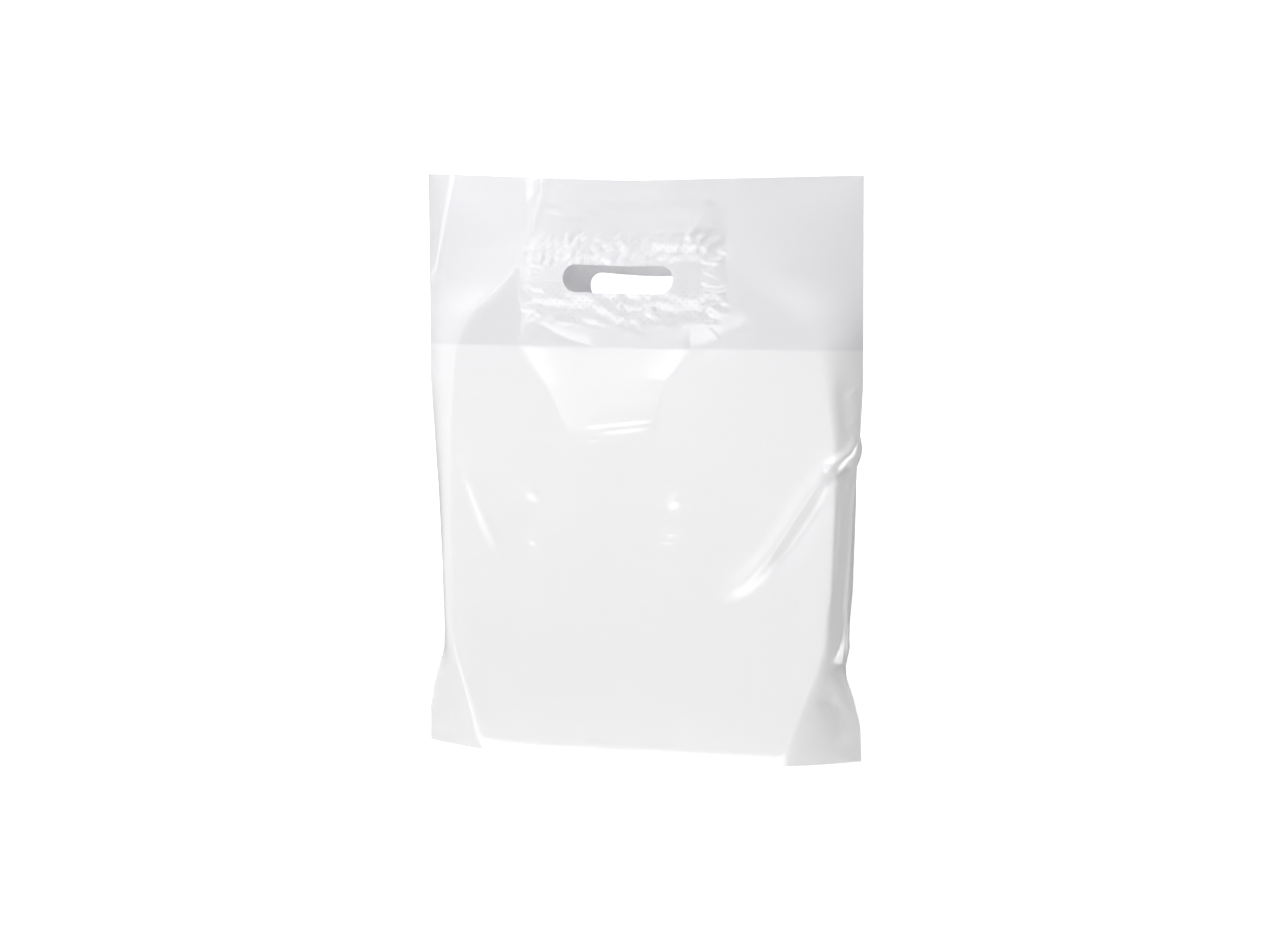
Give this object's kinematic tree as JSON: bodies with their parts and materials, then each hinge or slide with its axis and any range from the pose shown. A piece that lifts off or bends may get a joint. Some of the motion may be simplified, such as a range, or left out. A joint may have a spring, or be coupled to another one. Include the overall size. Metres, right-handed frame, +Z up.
{
  "type": "plastic carrier bag",
  "caption": "White plastic film carrier bag with a punched hand slot through both walls, reinforced inside, and a tucked-up bottom gusset, standing filled out and open at the top.",
  "frame": {"origin": "on the floor under the middle of the bag", "axes": "+X across the bag to the right seen from its front, front wall faces -Y, +Z up towards the open mouth"},
  "size_m": [0.376, 0.049, 0.4545],
  "materials": {
    "white_film": "glossy white blown polyethylene film, slightly see-through",
    "patch_film": "white polyethylene film, heat-welded in a field of small dots"
  },
  "bodies": {
    "root": {"bag_film": "white_film", "front_handle_patch": "patch_film", "rear_handle_patch": "patch_film"}
  },
  "joints": []
}
